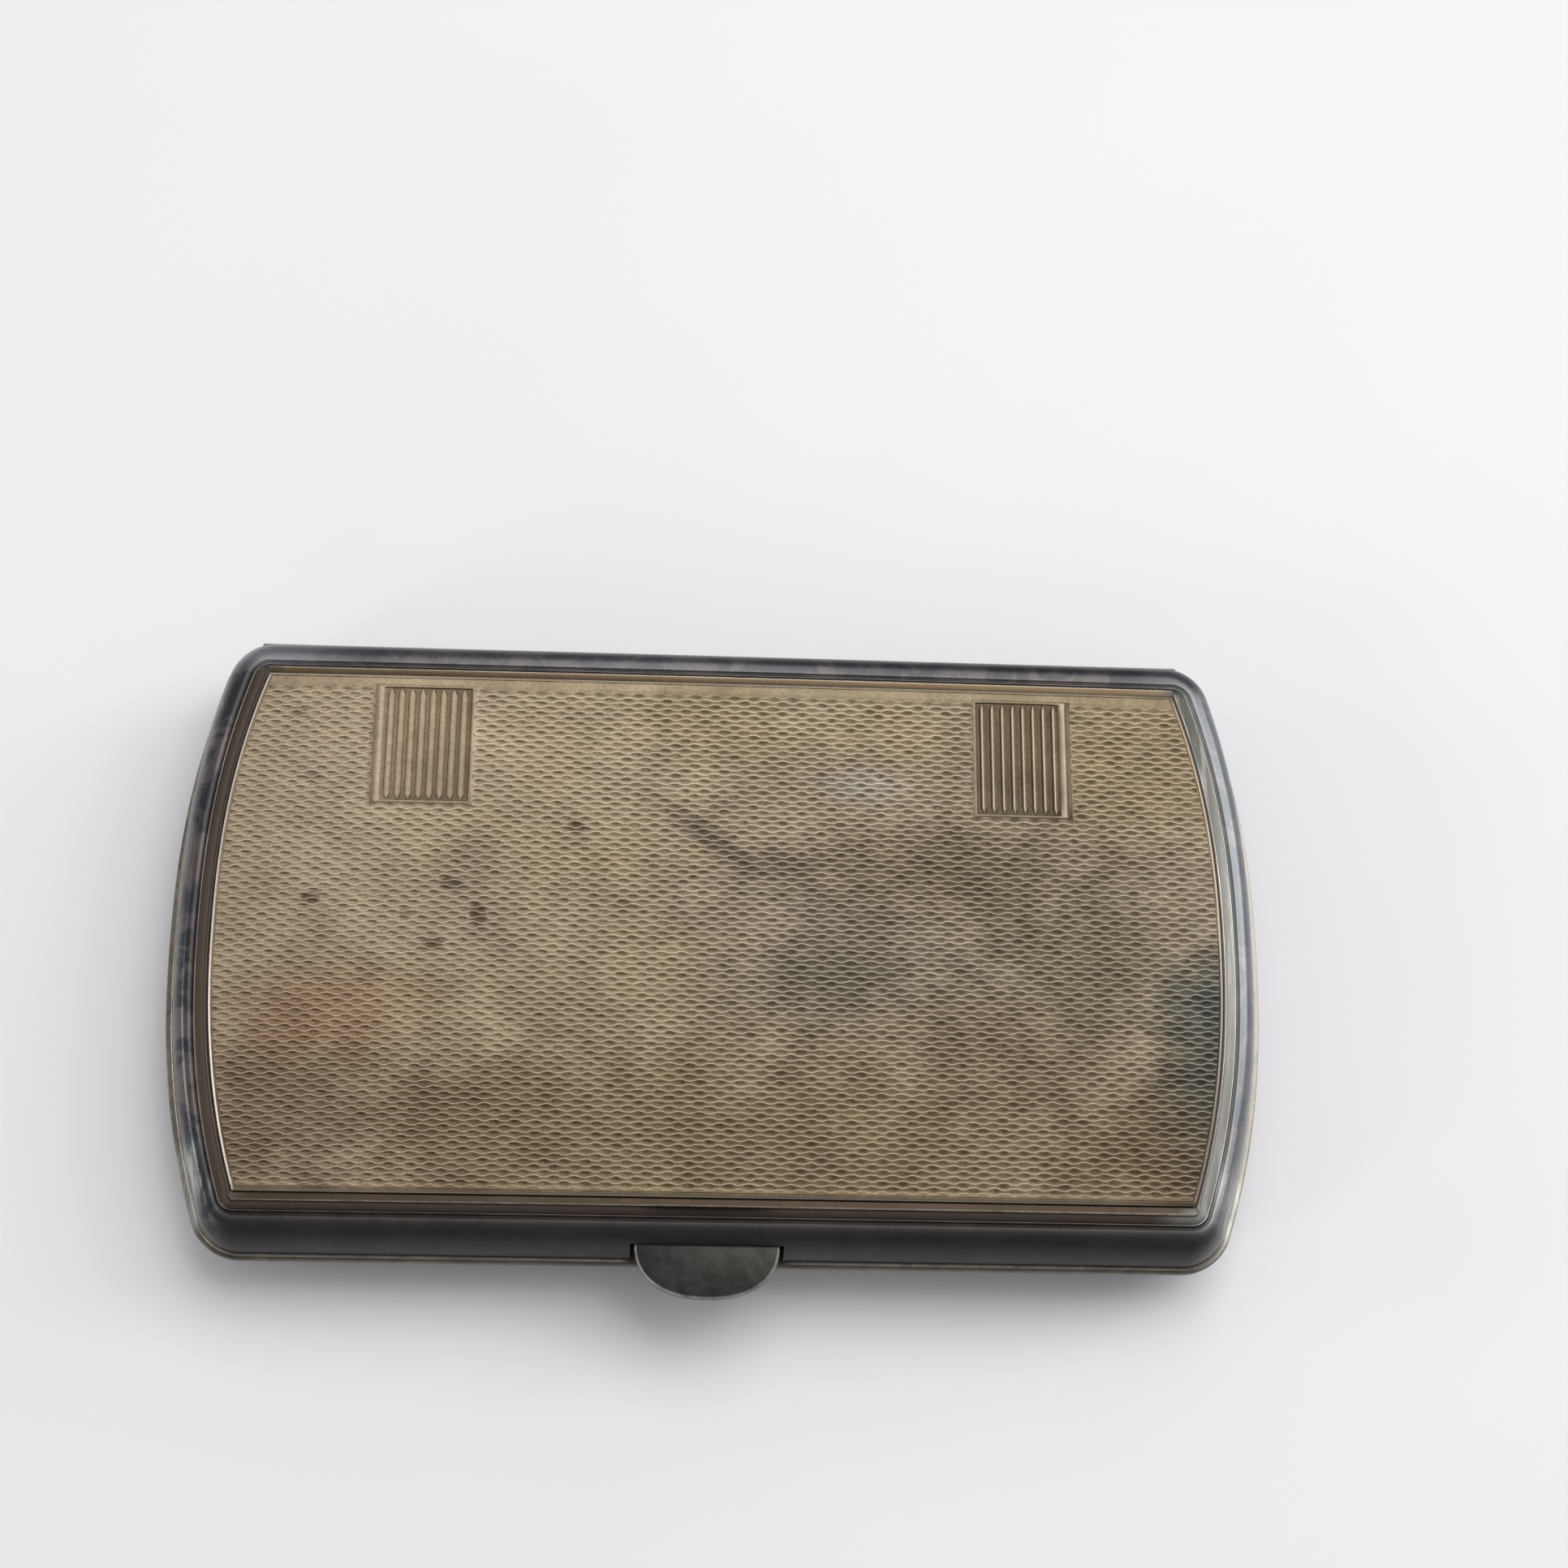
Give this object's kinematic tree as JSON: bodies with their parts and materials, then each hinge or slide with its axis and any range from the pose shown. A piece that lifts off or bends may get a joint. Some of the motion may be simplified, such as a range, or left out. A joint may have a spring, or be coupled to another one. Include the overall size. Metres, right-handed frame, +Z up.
{
  "type": "cigarette case",
  "caption": "Flat hinged pocket case of engine-turned silver with bowed ends, moulded borders, elastic bands and a sprung thumb catch.",
  "frame": {"origin": "middle of the flat bottom plate that the closed case lies on", "axes": "+X along the case, +Y towards the hinge, -Y towards the thumb piece, +Z up through the cover"},
  "size_m": [0.136, 0.0838, 0.0167],
  "materials": {
    "silver_border": "polished silver under dark blue-grey tarnish",
    "silver_engraved": "engine-turned silver with warm tarnish",
    "gilt_inside": "worn gilding",
    "hinge_silver": "satin silver with brown tarnish",
    "steel": "spring steel, satin",
    "elastic": "woven elastic ribbon"
  },
  "bodies": {
    "base": {"base_frame": "silver_border", "base_panel": "silver_engraved", "base_bezel": "gilt_inside", "base_hinge_bearer": "gilt_inside", "base_knuckle_1": "hinge_silver", "base_knuckle_2": "hinge_silver", "base_knuckle_3": "hinge_silver", "base_knuckle_4": "hinge_silver", "hinge_pin": "steel", "base_band": "elastic", "base_band_clip_left": "gilt_inside", "base_band_clip_right": "gilt_inside", "catch_spring": "steel", "catch_rivet_left": "steel", "catch_rivet_right": "steel"},
    "thumb_catch": {"thumb_piece": "silver_border", "catch_hook": "steel"},
    "cover": {"cover_frame": "silver_border", "cover_panel": "silver_engraved", "cover_hinge_bearer": "gilt_inside", "cover_knuckle_1": "hinge_silver", "cover_knuckle_2": "hinge_silver", "cover_knuckle_3": "hinge_silver", "cover_band": "elastic", "cover_band_clip_left": "gilt_inside", "cover_band_clip_right": "gilt_inside", "catch_keeper_left": "gilt_inside", "catch_keeper_right": "gilt_inside"}
  },
  "joints": [
    {"name": "cover_hinge", "type": "hinge", "parent": "base", "child": "cover", "pos_m": [0, 0.03865, 0.0081], "axis": [-1, 0, 0], "range_deg": [0, 180]},
    {"name": "thumb_press", "type": "slide", "parent": "base", "child": "thumb_catch", "axis": [0, 1, 0], "range_m": [0, 0.001], "stiffness_N_per_m": 3000}
  ]
}
